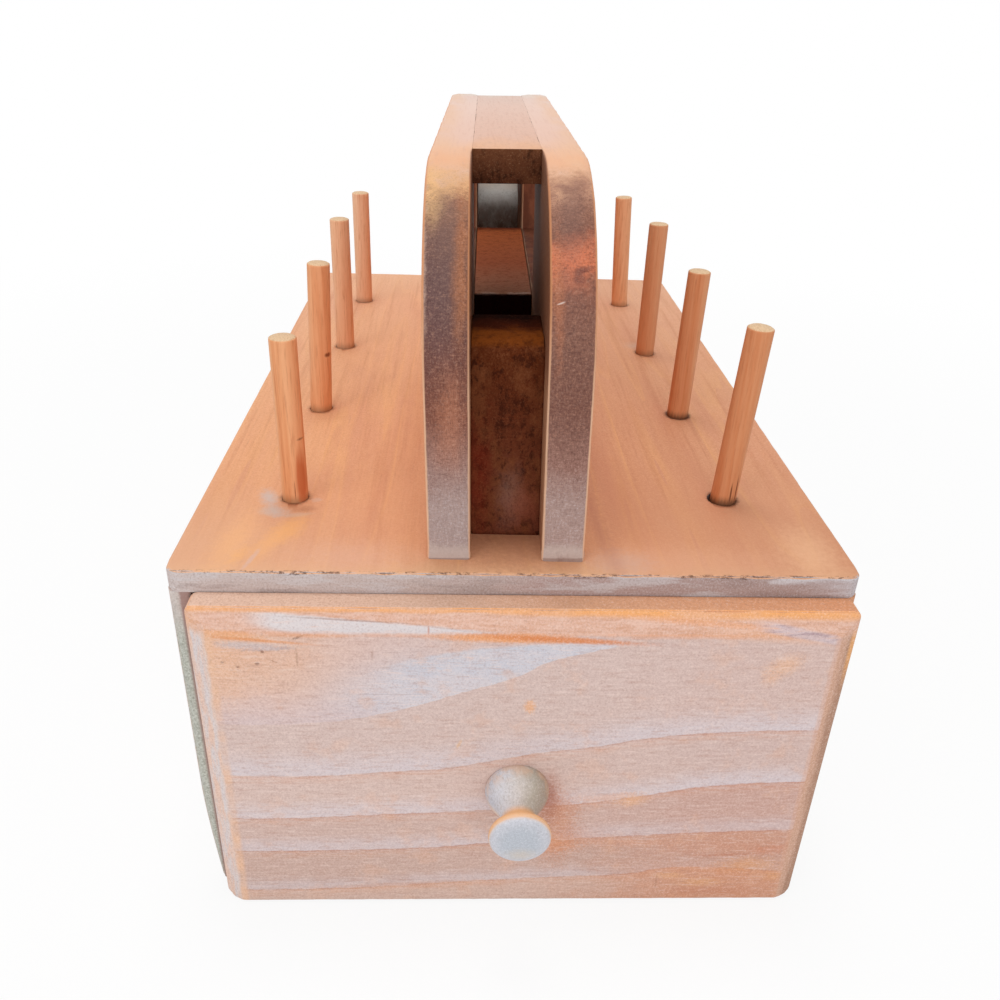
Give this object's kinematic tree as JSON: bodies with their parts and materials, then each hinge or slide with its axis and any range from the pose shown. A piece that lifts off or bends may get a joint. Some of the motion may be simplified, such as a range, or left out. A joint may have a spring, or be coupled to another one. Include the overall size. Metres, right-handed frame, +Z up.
{
  "type": "sewing box",
  "caption": "Wooden sewing box with a drawer, rows of spool pegs on its top, and a two-plate carrying handle with a hand hold and scissors slots.",
  "frame": {"origin": "centre of the case's footprint on the table, in the plane of its underside", "axes": "+Z up, -Y towards the front where the drawer opens, +X to the right of someone facing the drawer"},
  "size_m": [0.19, 0.3349, 0.2196],
  "materials": {
    "stained_top": "thin orange-brown stain, worn at the front arris",
    "case_panels": "thin grey-green whitewash over plywood",
    "plain_inside": "bare sanded wood",
    "washed_front": "lavender-white wash rubbed into orange-stained pine",
    "handle_plates": "orange-brown stain with a pale wash on the edges",
    "handle_blocks": "dark red-brown stain",
    "peg_dowel": "orange-tan stain, worn pale on the ends",
    "knob_wash": "blue-grey wash rubbed thin on the neck",
    "bright_steel": "plain steel fasteners"
  },
  "bodies": {
    "case": {"top_board": "stained_top", "left_side_panel": "case_panels", "right_side_panel": "case_panels", "back_panel": "case_panels", "bottom_board": "plain_inside", "handle_left_plate": "handle_plates", "handle_right_plate": "handle_plates", "handle_front_block": "handle_blocks", "handle_centre_block": "handle_blocks", "handle_back_block": "handle_blocks", "handle_grip_block": "handle_plates", "handle_screws": "bright_steel", "case_brads": "bright_steel", "spool_peg_left_1": "peg_dowel", "spool_peg_left_2": "peg_dowel", "spool_peg_left_3": "peg_dowel", "spool_peg_left_4": "peg_dowel", "spool_peg_right_1": "peg_dowel", "spool_peg_right_2": "peg_dowel", "spool_peg_right_3": "peg_dowel", "spool_peg_right_4": "peg_dowel"},
    "drawer": {"drawer_front": "washed_front", "drawer_left_side": "plain_inside", "drawer_right_side": "plain_inside", "drawer_back": "plain_inside", "drawer_bottom": "plain_inside", "drawer_knob": "knob_wash", "knob_screw": "bright_steel", "drawer_brads": "bright_steel"}
  },
  "joints": [
    {"name": "drawer_slide", "type": "slide", "parent": "case", "child": "drawer", "axis": [0, -1, 0], "range_m": [0, 0.24]}
  ]
}
